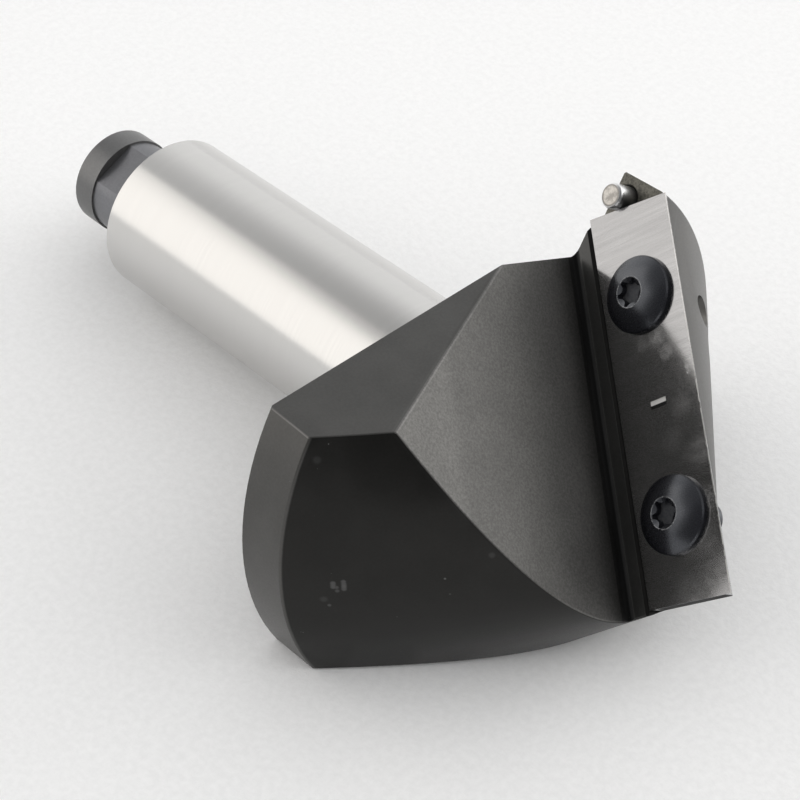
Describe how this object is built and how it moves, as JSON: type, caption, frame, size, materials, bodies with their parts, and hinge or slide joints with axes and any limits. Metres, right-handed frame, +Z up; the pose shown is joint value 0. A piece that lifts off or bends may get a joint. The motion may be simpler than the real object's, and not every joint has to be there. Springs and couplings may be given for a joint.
{
  "type": "v-groove router bit",
  "caption": "Conical V-groove router bit with a screwed-on carbide knife in a milled gullet, a ground cylindrical shank and a black rear spigot.",
  "frame": {"origin": "centre of the bounding box at the surface the tool lies on", "axes": "+Z up as it lies on a table, +X from the shank towards the cutting tip; the tool's own axis drops towards the shank's rear end by 4.29 degrees"},
  "size_m": [0.1064, 0.0658, 0.038],
  "materials": {
    "black_steel": "black-burnished steel on the head and spigot, bright ground steel on the shank",
    "carbide": "ground cemented carbide",
    "screw_steel": "satin blue-black hardened steel",
    "pin_steel": "bright ground steel"
  },
  "bodies": {
    "root": {"cutter_body": "black_steel", "knife": "carbide", "knife_screw_1": "screw_steel", "knife_screw_2": "screw_steel", "locating_pin": "pin_steel"}
  },
  "joints": []
}
